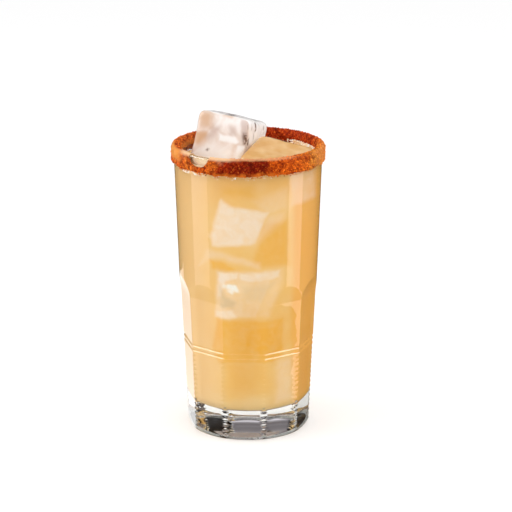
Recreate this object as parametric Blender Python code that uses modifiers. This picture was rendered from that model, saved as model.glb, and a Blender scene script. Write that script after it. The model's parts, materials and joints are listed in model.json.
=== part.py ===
"""A paloma in its tall tumbler, in metres, with the tumbler's axis on Z and its foot on Z = 0.

The tumbler is round above and has ten flat panels below. Two grooves ring the panels, and a
column of notches runs down each corner between them. The cloudy drink fills it to just under
the rim, two ice cubes stand out of the drink, and chili and salt crust the rim. The viewer
stands on the -Y side, and the angles of the crust are counted from there towards +X.
"""

import math
import random

import bmesh
import bpy
from mathutils import Vector, noise

# Tumbler
GLASS_HEIGHT = 0.150
RIM_RADIUS = 0.038
OUTER_TAPER = 0.034
RIM_WALL = 0.0023
INNER_TAPER = 0.047
LIP_RADIUS = 0.0010
FLOOR_HEIGHT = 0.0155
FLOOR_FILLET = 0.0050
HEEL_RADIUS = 0.0050
PUNT_RADIUS = 0.0220
PUNT_DEPTH = 0.0012
PUNT_STEPS = 3
ROUND_STEPS = 72
ARC_STEPS = 5
MERGE_DISTANCE = 0.00001
GLASS_SHARP_ANGLE = 19.0

# Panels, grooves and notches cut into the tumbler
PANEL_COUNT = 10
FIRST_CORNER_ANGLE = math.radians(-3.75)
CORNER_RADIUS_AT_FOOT = 0.0319
CORNER_TAPER = 0.0424
PANEL_STRAIGHT_TOP = 0.0715
PANEL_TOP = 0.0826
PANEL_ARC_STEPS = 6
GROOVE_HEIGHTS = (0.0480, 0.0454)
GROOVE_DEPTH = 0.0005
GROOVE_HALF_WIDTH = 0.0006
NOTCH_TOP = 0.0436
NOTCH_PITCH = 0.0026
NOTCH_COUNT = 16
NOTCH_DEPTH = 0.00062
NOTCH_LAND = 0.00005
CUTTER_REACH = 0.0025
GROOVE_CUTTER_REACH = 0.00125

# Drink and ice
TOUCH_GAP = 0.0003
ICE_POCKET_GAP = 0.0005
DRINK_LEVEL = 0.1400
CUBE_BEVEL = 0.0034
CUBE_BEVEL_STEPS = 3
CUBE_SHARP_ANGLE = 60.0

# Each cube's size and centre, and its turn in degrees: about Z first, then Y, then X
LEFT_CUBE = ((0.0290, 0.0294, 0.0335), (-0.0104, 0.0118, 0.1455), (-10.3, 13.0, -21.7))
RIGHT_CUBE = ((0.0325, 0.0277, 0.0290), (0.0148, -0.0049, 0.1342), (16.8, 1.1, -25.0))

# Chili and salt crust over the rim
CRUST_OUTER_DROP = 0.0078
CRUST_INNER_DROP = 0.0046
CRUST_THICKNESS = 0.0007
CRUST_BUMP = 0.00035
CRUST_BUMP_PITCH = 0.0026
CRUST_RAGGED = 0.0011
CRUST_RAGGED_PITCH = 0.0052
CRUST_STEPS = 84
CRUST_SIDE_STEPS = 3
CRUST_CROWN_STEPS = 2
BARE_PATCH_ANGLE = math.radians(-40.0)
BARE_PATCH_RADII = (0.0066, 0.0060, 0.0052)
BARE_PATCH_SEGMENTS = 20
GRAIN_COUNT = 36
GRAIN_RADIUS = (0.00048, 0.00062)
GRAIN_STRAY = 0.3
CRUST_SEED = 11


def outer_radius(height):
    return RIM_RADIUS - OUTER_TAPER * (GLASS_HEIGHT - height)


def inner_radius(height):
    return RIM_RADIUS - RIM_WALL - INNER_TAPER * (GLASS_HEIGHT - height)


def corner_radius(height):
    """The radius at which two panels meet."""
    return CORNER_RADIUS_AT_FOOT + CORNER_TAPER * height


def panel_radius(height):
    """The distance from the axis to the middle of a panel."""
    return corner_radius(height) * math.cos(math.pi / PANEL_COUNT)


def arc(centre_x, centre_z, radius, start, end, steps=ARC_STEPS):
    """Points on an arc in the XZ plane, with its angles in degrees."""
    angles = [math.radians(start + (end - start) * i / steps) for i in range(steps + 1)]
    return [(centre_x + radius * math.cos(a), centre_z + radius * math.sin(a)) for a in angles]


def new_collection(name):
    collection = bpy.data.collections.new(name)
    bpy.context.scene.collection.children.link(collection)
    return collection


def new_object(name, mesh, collection):
    obj = bpy.data.objects.new(name, mesh)
    collection.objects.link(obj)
    return obj


def mesh_from(work, name):
    mesh = bpy.data.meshes.new(name)
    work.to_mesh(mesh)
    work.free()
    return mesh


def new_material(name, colour, roughness, transmission=0.0, ior=1.45):
    material = bpy.data.materials.new(name)
    material.use_nodes = True
    material.diffuse_color = (*colour, 1.0)
    shader = material.node_tree.nodes["Principled BSDF"]
    shader.inputs["Base Color"].default_value = (*colour, 1.0)
    shader.inputs["Roughness"].default_value = roughness
    shader.inputs["Metallic"].default_value = 0.0
    shader.inputs["Transmission Weight"].default_value = transmission
    shader.inputs["IOR"].default_value = ior
    return material


def apply_modifiers(obj):
    """Gives the object the mesh that its modifiers make."""
    graph = bpy.context.evaluated_depsgraph_get()
    graph.update()
    mesh = bpy.data.meshes.new_from_object(obj.evaluated_get(graph))
    obj.modifiers.clear()
    obj.data = mesh


def finish(obj, material, sharp_angle=30.0):
    obj.data.materials.clear()
    obj.data.materials.append(material)
    obj.data.shade_smooth()
    obj.data.set_sharp_from_angle(angle=math.radians(sharp_angle))


def turned(name, outline, collection, steps=ROUND_STEPS, closed=False):
    """Turns an outline of (x, z) points about Z. It runs down its outer side."""
    mesh = bpy.data.meshes.new(name)
    edges = [(i, i + 1) for i in range(len(outline) - 1)]
    if closed:
        edges.append((len(outline) - 1, 0))
    mesh.from_pydata([(x, 0.0, z) for x, z in outline], edges, [])
    obj = new_object(name, mesh, collection)
    screw = obj.modifiers.new("turn", "SCREW")
    screw.steps = steps
    screw.render_steps = steps
    screw.use_merge_vertices = True
    screw.merge_threshold = MERGE_DISTANCE
    return obj


def prism(name, outline, half_width, collection):
    """A flat outline of (x, z) points, drawn out along Y to both sides."""
    work = bmesh.new()
    face = work.faces.new([work.verts.new((x, -half_width, z)) for x, z in outline])
    made = bmesh.ops.extrude_face_region(work, geom=[face])
    moved = [v for v in made["geom"] if isinstance(v, bmesh.types.BMVert)]
    bmesh.ops.translate(work, verts=moved, vec=(0.0, 2 * half_width, 0.0))
    bmesh.ops.recalc_face_normals(work, faces=work.faces)
    return new_object(name, mesh_from(work, name), collection)


def combine(obj, others, name, operation="DIFFERENCE"):
    """Cuts a collection of shapes out of the object, or joins them to it."""
    boolean = obj.modifiers.new(name, "BOOLEAN")
    boolean.operation = operation
    boolean.solver = "EXACT"
    boolean.operand_type = "COLLECTION"
    boolean.collection = others


def tumbler_outline():
    """From the middle of the inner floor, up the inside, over the lip and down to the foot."""
    fillet_top = FLOOR_HEIGHT + FLOOR_FILLET
    floor_fillet = arc(
        inner_radius(fillet_top) - FLOOR_FILLET, fillet_top, FLOOR_FILLET, -90.0, 0.0
    )
    lip_height = GLASS_HEIGHT - LIP_RADIUS
    inner_lip = arc(inner_radius(lip_height) + LIP_RADIUS, lip_height, LIP_RADIUS, 180.0, 90.0)
    outer_lip = arc(outer_radius(lip_height) - LIP_RADIUS, lip_height, LIP_RADIUS, 90.0, 0.0)
    heel_centre = outer_radius(HEEL_RADIUS) - HEEL_RADIUS
    heel = arc(heel_centre, HEEL_RADIUS, HEEL_RADIUS, 0.0, -90.0)
    punt_parts = [1.0 - step / PUNT_STEPS for step in range(PUNT_STEPS + 1)]
    punt = [(PUNT_RADIUS * part, PUNT_DEPTH * (1.0 - part * part)) for part in punt_parts]
    return [(0.0, FLOOR_HEIGHT), *floor_fillet, *inner_lip, *outer_lip, *heel, *punt]


def panel_outline():
    """The side view of the wheel that grinds one panel: straight, then curving out of the wall."""
    rise = PANEL_TOP - PANEL_STRAIGHT_TOP
    run = outer_radius(PANEL_TOP) - panel_radius(PANEL_TOP)
    wheel_radius = (rise * rise + run * run) / (2 * run)
    outline = [(panel_radius(-CUTTER_REACH), -CUTTER_REACH)]
    past_the_wall = 2
    for step in range(PANEL_ARC_STEPS + past_the_wall + 1):
        height = PANEL_STRAIGHT_TOP + rise * step / PANEL_ARC_STEPS
        lift = wheel_radius - math.sqrt(wheel_radius**2 - (height - PANEL_STRAIGHT_TOP) ** 2)
        outline.append((panel_radius(height) + lift, height))
    far = RIM_RADIUS + CUTTER_REACH
    return [*outline, (far, outline[-1][1]), (far, -CUTTER_REACH)]


def groove_outline(height):
    """A V that is deepest at the given height. It is the section of a ring of ten straights."""
    to_corner = 1.0 / math.cos(math.pi / PANEL_COUNT)
    deep = (panel_radius(height) - GROOVE_DEPTH) * to_corner
    wide = (panel_radius(height) + GROOVE_CUTTER_REACH) * to_corner
    half = GROOVE_HALF_WIDTH * (GROOVE_CUTTER_REACH + GROOVE_DEPTH) / GROOVE_DEPTH
    return [(deep, height), (wide, height + half), (wide, height - half)]


def notch_outline():
    """A saw edge that cuts one column of notches into the corner between two panels."""
    far = RIM_RADIUS + CUTTER_REACH
    outline = []
    for index in range(NOTCH_COUNT):
        top = NOTCH_TOP - index * NOTCH_PITCH
        middle = top - NOTCH_PITCH / 2
        outline.append((corner_radius(top) + NOTCH_LAND, top))
        outline.append((corner_radius(middle) - NOTCH_DEPTH, middle))
    bottom = NOTCH_TOP - NOTCH_COUNT * NOTCH_PITCH
    outline.append((corner_radius(bottom) + NOTCH_LAND, bottom))
    return [*outline, (far, bottom), (far, NOTCH_TOP)]


def make_cutters(cutters):
    """Ten panels, the two grooves round them and a column of notches at each corner."""
    half_step = math.pi / PANEL_COUNT
    panel_half_width = (RIM_RADIUS + CUTTER_REACH) * math.tan(half_step)
    notch_half_width = 2 * NOTCH_DEPTH / math.tan(half_step)
    for index in range(PANEL_COUNT):
        corner_angle = FIRST_CORNER_ANGLE + 2 * half_step * index
        panel = prism(f"panel_cut_{index}", panel_outline(), panel_half_width, cutters)
        panel.rotation_euler.z = corner_angle + half_step
        notches = prism(f"notch_cut_{index}", notch_outline(), notch_half_width, cutters)
        notches.rotation_euler.z = corner_angle
    for index, height in enumerate(GROOVE_HEIGHTS):
        groove = turned(
            f"groove_cut_{index}", groove_outline(height), cutters, PANEL_COUNT, closed=True
        )
        apply_modifiers(groove)
        groove.rotation_euler.z = FIRST_CORNER_ANGLE


def make_glass(parts, cutters):
    glass = turned("glass", tumbler_outline(), parts)
    make_cutters(cutters)
    combine(glass, cutters, "panels and notches")
    apply_modifiers(glass)
    clear = new_material("clear pressed glass", (0.93, 0.95, 0.95), 0.02, 1.0, 1.52)
    finish(glass, clear, GLASS_SHARP_ANGLE)


def ice_cube(name, shape, collection, grow=0.0):
    """A block with soft melted edges. Grow moves all its sides outwards."""
    size, centre, turn = shape
    work = bmesh.new()
    bmesh.ops.create_cube(work, size=1.0)
    bmesh.ops.scale(work, verts=work.verts, vec=[side + 2 * grow for side in size])
    cube = new_object(name, mesh_from(work, name), collection)
    cube.location = centre
    cube.rotation_mode = "ZYX"
    cube.rotation_euler = [math.radians(angle) for angle in turn]
    bevel = cube.modifiers.new("melted edges", "BEVEL")
    bevel.width = CUBE_BEVEL + grow
    bevel.segments = CUBE_BEVEL_STEPS
    bevel.limit_method = "NONE"
    return cube


def make_ice(parts):
    clear = new_material("clear ice", (0.95, 0.96, 0.97), 0.05, 1.0, 1.31)
    wet = new_material("ice wet with the drink", (0.72, 0.50, 0.24), 0.10, 0.6, 1.31)
    cubes = (("ice_cube_left", LEFT_CUBE, clear), ("ice_cube_right", RIGHT_CUBE, wet))
    for name, shape, material in cubes:
        cube = ice_cube(name, shape, parts)
        apply_modifiers(cube)
        finish(cube, material, CUBE_SHARP_ANGLE)


def drink_outline():
    """From the middle of the surface out to the wall, down it and in along the floor."""
    floor = FLOOR_HEIGHT + TOUCH_GAP
    fillet = FLOOR_FILLET - TOUCH_GAP
    fillet_top = FLOOR_HEIGHT + FLOOR_FILLET
    foot = arc(inner_radius(fillet_top) - FLOOR_FILLET, fillet_top, fillet, 0.0, -90.0)
    edge = inner_radius(DRINK_LEVEL) - TOUCH_GAP
    return [(0.0, DRINK_LEVEL), (edge, DRINK_LEVEL), *foot, (0.0, floor)]


def make_drink(parts, pockets):
    drink = turned("drink", drink_outline(), parts)
    ice_cube("left_cube_pocket", LEFT_CUBE, pockets, ICE_POCKET_GAP)
    ice_cube("right_cube_pocket", RIGHT_CUBE, pockets, ICE_POCKET_GAP)
    combine(drink, pockets, "room for the ice")
    apply_modifiers(drink)
    finish(drink, new_material("cloudy grapefruit drink", (0.80, 0.45, 0.13), 0.15))


def crust_outline():
    """A closed section that clasps the rim: up its outer skin, down inside, back along the glass."""
    skin = TOUCH_GAP + CRUST_THICKNESS
    outer_foot = GLASS_HEIGHT - CRUST_OUTER_DROP
    inner_foot = GLASS_HEIGHT - CRUST_INNER_DROP
    top = GLASS_HEIGHT - LIP_RADIUS
    drop = (top - outer_foot) / CRUST_SIDE_STEPS
    outside_heights = [top - drop * step for step in range(CRUST_SIDE_STEPS + 1)]
    outside = [(outer_radius(height) + skin, height) for height in outside_heights]
    inside_heights = (inner_foot, (inner_foot + top) / 2)
    inside = [(inner_radius(height) - skin, height) for height in inside_heights]
    inner_bend = inner_radius(top) + LIP_RADIUS
    outer_bend = outer_radius(top) - LIP_RADIUS
    crown = LIP_RADIUS + skin
    inner_crown = arc(inner_bend, top, crown, 180.0, 90.0, CRUST_CROWN_STEPS)
    outer_crown = arc(outer_bend, top, crown, 90.0, 0.0, CRUST_CROWN_STEPS)
    clasp = LIP_RADIUS + TOUCH_GAP
    seat = [
        (outer_radius(outer_foot) + TOUCH_GAP, outer_foot),
        *arc(outer_bend, top, clasp, 0.0, 90.0, CRUST_CROWN_STEPS),
        *arc(inner_bend, top, clasp, 90.0, 180.0, CRUST_CROWN_STEPS),
        (inner_radius(inner_foot) - TOUCH_GAP, inner_foot),
    ]
    return [*inside, *inner_crown, *outer_crown[:-1], *outside, *seat]


def roughen_crust(mesh):
    """Makes the crust's skin lumpy and its two edges ragged, and leaves its seat on the glass.

    Its outer skin is at full thickness on the X and Y axes, so that its box is centred.
    """
    low_outside = GLASS_HEIGHT - CRUST_OUTER_DROP + CRUST_RAGGED
    low_inside = GLASS_HEIGHT - CRUST_INNER_DROP + CRUST_RAGGED
    middle = RIM_RADIUS - RIM_WALL / 2
    seat_top = GLASS_HEIGHT + TOUCH_GAP
    near_axis = 0.5 * math.pi / CRUST_STEPS
    for vert in mesh.vertices:
        point = vert.co.copy()
        radius = math.hypot(point.x, point.y)
        around = Vector((point.x, point.y, 0.0)) / radius
        outside = radius > middle
        low = low_outside if outside else low_inside
        if point.z < low:
            place = around * (RIM_RADIUS / CRUST_RAGGED_PITCH) + Vector((0.0, 0.0, outside))
            vert.co.z += CRUST_RAGGED * noise.noise(place)
        wall = outer_radius(point.z) if outside else inner_radius(point.z)
        on_crown = point.z > seat_top + MERGE_DISTANCE
        on_skin = on_crown or abs(radius - wall) > CRUST_THICKNESS
        if not on_skin:
            continue
        lump = 0.5 + 0.5 * noise.noise(point / CRUST_BUMP_PITCH)
        if outside and min(abs(around.x), abs(around.y)) < near_axis:
            lump = 1.0
        push = around * (1.0 if outside else -1.0)
        if on_crown:
            push = Vector((0.0, 0.0, 1.0))
        vert.co += push * CRUST_BUMP * min(max(lump, 0.0), 1.0)


def add_grains(crust, grains):
    """Coarse grains that stand out of the outer skin, spread evenly round the rim."""
    draws = random.Random(CRUST_SEED)
    top = GLASS_HEIGHT - LIP_RADIUS
    lowest = GLASS_HEIGHT - CRUST_OUTER_DROP + 2 * CRUST_RAGGED
    for index in range(GRAIN_COUNT):
        angle = 2 * math.pi * (index + draws.uniform(-GRAIN_STRAY, GRAIN_STRAY)) / GRAIN_COUNT
        height = draws.uniform(lowest, top)
        radius = draws.uniform(*GRAIN_RADIUS)
        out = outer_radius(height) + TOUCH_GAP + CRUST_THICKNESS + CRUST_BUMP - radius
        work = bmesh.new()
        bmesh.ops.create_icosphere(work, subdivisions=1, radius=radius)
        name = f"grain_{index}"
        grain = new_object(name, mesh_from(work, name), grains)
        grain.location = (out * math.cos(angle), out * math.sin(angle), height)
        grain.rotation_euler = [draws.uniform(0.0, math.pi) for _ in range(3)]
    combine(crust, grains, "grains", "UNION")
    apply_modifiers(crust)
    for grain in list(grains.objects):
        bpy.data.objects.remove(grain)
    bpy.data.collections.remove(grains)


def make_crust(parts, bare, pockets):
    crust = turned("chili_salt_rim", crust_outline(), parts, CRUST_STEPS, closed=True)
    apply_modifiers(crust)
    roughen_crust(crust.data)
    add_grains(crust, new_collection("grains"))
    work = bmesh.new()
    bmesh.ops.create_uvsphere(
        work, u_segments=BARE_PATCH_SEGMENTS, v_segments=BARE_PATCH_SEGMENTS // 2, radius=1.0
    )
    bmesh.ops.scale(work, verts=work.verts, vec=BARE_PATCH_RADII)
    patch = new_object("bare_patch_cut", mesh_from(work, "bare_patch_cut"), bare)
    patch.rotation_euler.z = BARE_PATCH_ANGLE
    patch.location = (
        RIM_RADIUS * math.sin(BARE_PATCH_ANGLE),
        -RIM_RADIUS * math.cos(BARE_PATCH_ANGLE),
        GLASS_HEIGHT,
    )
    combine(crust, bare, "bare patch")
    combine(crust, pockets, "rubbed off by the ice")
    apply_modifiers(crust)
    finish(crust, new_material("chili and salt crust", (0.45, 0.12, 0.03), 0.85))


def main():
    for obj in list(bpy.data.objects):
        bpy.data.objects.remove(obj)
    parts = new_collection("paloma")
    glass_cutters = new_collection("glass cutters")
    pockets = new_collection("ice pockets")
    bare = new_collection("bare patch")
    make_glass(parts, glass_cutters)
    make_ice(parts)
    make_drink(parts, pockets)
    make_crust(parts, bare, pockets)
    for collection in (glass_cutters, pockets, bare):
        for cutter in collection.objects:
            cutter.hide_render = True
            cutter.display_type = "WIRE"


main()
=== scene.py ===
"""The looks of a paloma in its panelled tumbler: clear pressed glass, a cloudy amber drink,
melting ice and a crust of chili and salt. Lengths are in metres unless a name says mm."""

import json
import math

import bmesh
import bpy
from mathutils import Euler, Matrix, Vector, noise

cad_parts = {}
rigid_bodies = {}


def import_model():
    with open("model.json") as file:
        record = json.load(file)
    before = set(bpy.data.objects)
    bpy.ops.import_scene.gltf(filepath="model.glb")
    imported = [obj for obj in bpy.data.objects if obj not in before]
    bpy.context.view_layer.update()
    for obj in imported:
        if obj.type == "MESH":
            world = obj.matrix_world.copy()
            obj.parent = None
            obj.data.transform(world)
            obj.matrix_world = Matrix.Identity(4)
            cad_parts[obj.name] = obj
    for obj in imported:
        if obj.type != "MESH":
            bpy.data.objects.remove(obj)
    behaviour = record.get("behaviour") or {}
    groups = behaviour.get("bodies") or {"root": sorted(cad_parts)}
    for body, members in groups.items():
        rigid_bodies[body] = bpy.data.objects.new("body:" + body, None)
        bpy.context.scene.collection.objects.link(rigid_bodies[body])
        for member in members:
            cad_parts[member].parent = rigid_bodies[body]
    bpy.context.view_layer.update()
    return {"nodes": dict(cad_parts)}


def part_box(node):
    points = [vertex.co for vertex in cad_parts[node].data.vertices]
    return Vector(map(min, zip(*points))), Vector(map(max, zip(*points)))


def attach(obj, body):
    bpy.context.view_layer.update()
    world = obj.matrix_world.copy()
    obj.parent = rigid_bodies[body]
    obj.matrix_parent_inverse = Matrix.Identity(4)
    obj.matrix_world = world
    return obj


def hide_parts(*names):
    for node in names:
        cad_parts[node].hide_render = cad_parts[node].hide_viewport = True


MM = 0.001
BODY = "root"

# The node types that are used most. Of a Map Range, the inputs in order are its value, the ends
# it goes from and the ends it goes to.
MATH = "ShaderNodeMath"
RANGE = "ShaderNodeMapRange"
NOISE = "ShaderNodeTexNoise"
RAMP = "ShaderNodeValToRGB"
MIX = "ShaderNodeMix"
ATTRIBUTE = "ShaderNodeAttribute"
PRINCIPLED = "ShaderNodeBsdfPrincipled"
MATERIAL_OUTPUT = "ShaderNodeOutputMaterial"
SEPARATE = "ShaderNodeSeparateXYZ"
COORDINATES = "ShaderNodeTexCoord"
VECTOR_MATH = "ShaderNodeVectorMath"
RANDOM = "FunctionNodeRandomValue"
BUMP = "ShaderNodeBump"

# Tumbler: the driving sizes of the solid, which its fine surface repeats
GLASS_HEIGHT = 0.150
RIM_RADIUS = 0.038
OUTER_TAPER = 0.034
RIM_WALL = 0.0023
INNER_TAPER = 0.047
LIP_RADIUS = 0.0010
FLOOR_HEIGHT = 0.0155
FLOOR_FILLET = 0.0050
HEEL_RADIUS = 0.0050
PUNT_RADIUS = 0.0220
PUNT_DEPTH = 0.0012
PANEL_COUNT = 10
FIRST_CORNER_ANGLE = math.radians(-3.75)
CORNER_RADIUS_AT_FOOT = 0.0319
CORNER_TAPER = 0.0424
PANEL_STRAIGHT_TOP = 0.0715
PANEL_TOP = 0.0826
GROOVE_HEIGHTS = (0.0480, 0.0454)
GROOVE_DEPTH = 0.0005
GROOVE_HALF_WIDTH = 0.00075
NOTCH_TOP = 0.0436
NOTCH_PITCH = 0.0026
NOTCH_COUNT = 16
NOTCH_DEPTH = 0.00062
NOTCH_LAND = 0.00005
NOTCH_BOTTOM = NOTCH_TOP - NOTCH_COUNT * NOTCH_PITCH

# How soft the mould and the fire polish leave the edges of the panels and of the notches
PANEL_EDGE = 0.0005
NOTCH_EDGE = 0.0002

# Rows this close to a groove or an arch keep the flat glass beside it flat
SUPPORT = 0.0002
ARCH_LOW = 0.0735

# How far the drink reaches into the glass and the ice, so that no air gap shows
OVERLAP = 0.00015

# How far the drink climbs the glass at its edge, and how far in from the edge it starts to
MENISCUS = 0.0022
MENISCUS_WIDTH = 0.0028

# Where the crumpled face of the lower sunk cube glints through the drink
GLINT_PLACE = (-0.0086, -0.030, 0.0825)

# How much of the crust's thickness is left over the lip and inside, where it is pressed on, and
# the gap that its solid leaves to the glass
PRESSED = 0.4
CRUST_GAP = 0.0003

# noise_vector, which makes the painted outlines stray, takes its offsets from this seed. Without
# one it takes them from the clock, and no two runs are the same.
STRAY_SEED = 1

# The camera, fitted to the rings of the tumbler in the photograph
CAMERA_PLACE = (0.0, -0.9628, 0.3729)
CAMERA_PITCH = math.radians(16.35)
CAMERA_YAW = 0.0042
CAMERA_LENS = 136.4

# What the lamps look at, and how far off the cards stand that the glass mirrors
DRINK_MIDDLE = Vector((0.0, 0.0, 0.08))
CARD_DISTANCE = 0.9


def linear(code):
    """An sRGB hex colour as linear red, green, blue and alpha."""
    parts = [int(code[i:i + 2], 16) / 255 for i in (1, 3, 5)]
    return (*[p / 12.92 if p <= 0.04045 else ((p + 0.055) / 1.055) ** 2.4 for p in parts], 1.0)


def add(tree, kind, inputs=(), stops=(), **settings):
    """Adds a node with its settings and links. Each input, by its socket or in order, is a value,
    an output, or a node whose working output is taken. Stops are a ramp's (place, hex colour)."""
    node = tree.nodes.new(kind)
    for name, value in settings.items():
        setattr(node, name, value)
    for socket, source in inputs.items() if isinstance(inputs, dict) else enumerate(inputs):
        if isinstance(source, bpy.types.Node):
            source = next(output for output in source.outputs if output.enabled)
        if isinstance(source, bpy.types.NodeSocket):
            tree.links.new(source, node.inputs[socket])
        else:
            node.inputs[socket].default_value = source
    for number, (place, code) in enumerate(stops):
        points = node.color_ramp.elements
        point = points[number] if number < 2 else points.new(place)
        point.position = place
        point.color = linear(code)
    return node


def blank_material(name):
    material = bpy.data.materials.new(name)
    material.use_nodes = True
    material.node_tree.nodes.clear()
    return material, material.node_tree


def lay_over(tree, colour, layers):
    """Lays colours over a colour. Each layer is how strongly it shows, and its hex colour."""
    for seen, code in layers:
        colour = add(tree, MIX, {"Factor": seen, 6: colour, 7: linear(code)}, data_type="RGBA")
    return colour


def let_lamps_through(tree, shader, tint, share=1.0):
    """Lets a share of the lamplight straight through, tinted, as bent light would mostly arrive."""
    path = add(tree, "ShaderNodeLightPath")
    clear = add(tree, "ShaderNodeBsdfTransparent", {"Color": linear(tint)})
    factor = path.outputs["Is Shadow Ray"]
    if share < 1.0:
        factor = add(tree, MATH, (factor, share), operation="MULTIPLY")
    return add(tree, "ShaderNodeMixShader", (factor, shader, clear))


def pressed_glass():
    """Soda-lime glass, pressed in a mould and fire polished: hard, clear highlights on a skin
    that is faintly wavy."""
    material, tree = blank_material("pressed soda-lime glass")
    place = add(tree, COORDINATES).outputs["Object"]
    waves = add(tree, NOISE, {"Vector": place, "Scale": 1 / (9 * MM), "Detail": 1.0})
    bump = add(tree, BUMP, {"Height": waves, "Strength": 0.25, "Distance": 0.06 * MM})
    shader = add(tree, PRINCIPLED, {
        "Base Color": linear("#FBFDFC"), "Roughness": 0.0, "IOR": 1.52,
        "Transmission Weight": 1.0, "Normal": bump,
    })
    mixed = let_lamps_through(tree, shader, "#F4F8F6")
    add(tree, MATERIAL_OUTPUT, {"Surface": mixed})
    return material


def cloudy_drink():
    """Grapefruit juice and soda: cloudy with fine pulp, so that light comes back from just under
    the surface. Where ice lies close to the glass, the layer of drink over it is thin and pale."""
    material, tree = blank_material("cloudy grapefruit soda")
    place = add(tree, COORDINATES).outputs["Object"]
    parts = add(tree, SEPARATE, {"Vector": place}).outputs
    level = add(tree, RANGE, (parts["Z"], FLOOR_HEIGHT, 0.140))
    # The colour by height is painted brighter and more saturated near the surface, under the crust:
    # painted light where the crust shades the drink.
    body = add(tree, RAMP, (level,), (
        (0.0, "#F3D49C"), (0.12, "#F7D086"), (0.45, "#F8CE7E"), (0.86, "#FAD288"),
        (0.97, "#FFCC7A"), (0.990, "#FFCB78"), (1.0, "#FFCE80"),
    ))
    pulp = add(tree, NOISE, {"Vector": place, "Scale": 1 / (14 * MM), "Detail": 3.0})
    clouds = add(tree, RAMP, (pulp,), ((0.35, "#F3BC62"), (0.5, "#F6CC80"), (0.65, "#F9DA9E")))
    colour = add(tree, MIX, {"Factor": 0.25, 6: body, 7: clouds}, data_type="RGBA")
    layers = []
    # Paler on the left, as painted reflection of the light from that side, and deeper orange on the
    # right, as painted shade.
    for start, end, share, code in (
        (-0.006, -0.028, 0.8, "#F4CE93"), (0.0200, 0.0242, 0.9, "#F8BC60"),
    ):
        aside = add(
            tree, RANGE, (parts["X"], start, end, 0.0, share), interpolation_type="SMOOTHSTEP"
        )
        layers.append((aside, code))
    ripples = add(
        tree, NOISE, {"Vector": place, "Scale": 1 / (5 * MM), "Detail": 3.0, "Distortion": 0.8}
    )
    patchy = add(tree, RANGE, (ripples, 0.3, 0.65, 0.7, 1.05))
    for kind, code in (("deep", "#F6BB4C"), ("ice", "#FFEFDD"), ("shade", "#DDC49C")):
        seen = add(tree, ATTRIBUTE, attribute_name=kind).outputs["Fac"]
        layers.append((add(tree, MATH, (seen, patchy), operation="MULTIPLY"), code))
    # A glint on the crumpled face of the lower sunk cube
    crumple = add(tree, "ShaderNodeTexVoronoi", {
        "Vector": place, "Scale": 1 / (4.5 * MM), "Detail": 1.0,
    }, feature="SMOOTH_F1").outputs["Distance"]
    away = add(tree, VECTOR_MATH, (place, GLINT_PLACE), operation="DISTANCE")
    round_it = add(tree, RANGE, (away, 0.0020, 0.0085, 1.1, 0.0))
    lit = add(tree, MATH, (round_it, crumple), operation="SUBTRACT")
    glint = add(tree, RANGE, (lit, 0.05, 0.5, 0.0, 0.95), interpolation_type="SMOOTHSTEP")
    # The underside shows only through the thick floor of the glass. Except at the far left it is
    # painted darker: painted shade of the drink's unlit bottom.
    behind = add(tree, RANGE, (parts["X"], -0.016, -0.012))
    under = add(tree, RANGE, (parts["Z"], 0.0166, 0.0160))
    underside_shade = add(tree, MATH, (behind, under), operation="MULTIPLY")
    # A little froth has risen to the surface, less of it on the left
    facing = add(tree, "ShaderNodeNewGeometry").outputs["Normal"]
    upward = add(tree, SEPARATE, {0: facing}).outputs["Z"]
    froth = add(tree, RANGE, (upward, 0.7, 0.95))
    kept = add(tree, RANGE, (parts["X"], -0.004, -0.010, 1.0, 0.35))
    froth = add(tree, MATH, (froth, kept), operation="MULTIPLY")
    layers += [(glint, "#FFFFFA"), (underside_shade, "#B09C92"), (froth, "#FBECCF")]
    colour = lay_over(tree, colour, layers)
    shader = add(tree, PRINCIPLED, {
        "Base Color": colour, "Roughness": 0.2, "IOR": 1.34, "Transmission Weight": 0.06,
    })
    mixed = let_lamps_through(tree, shader, "#E8BE7C", 0.6)
    add(tree, MATERIAL_OUTPUT, {"Surface": mixed})
    return material


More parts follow.
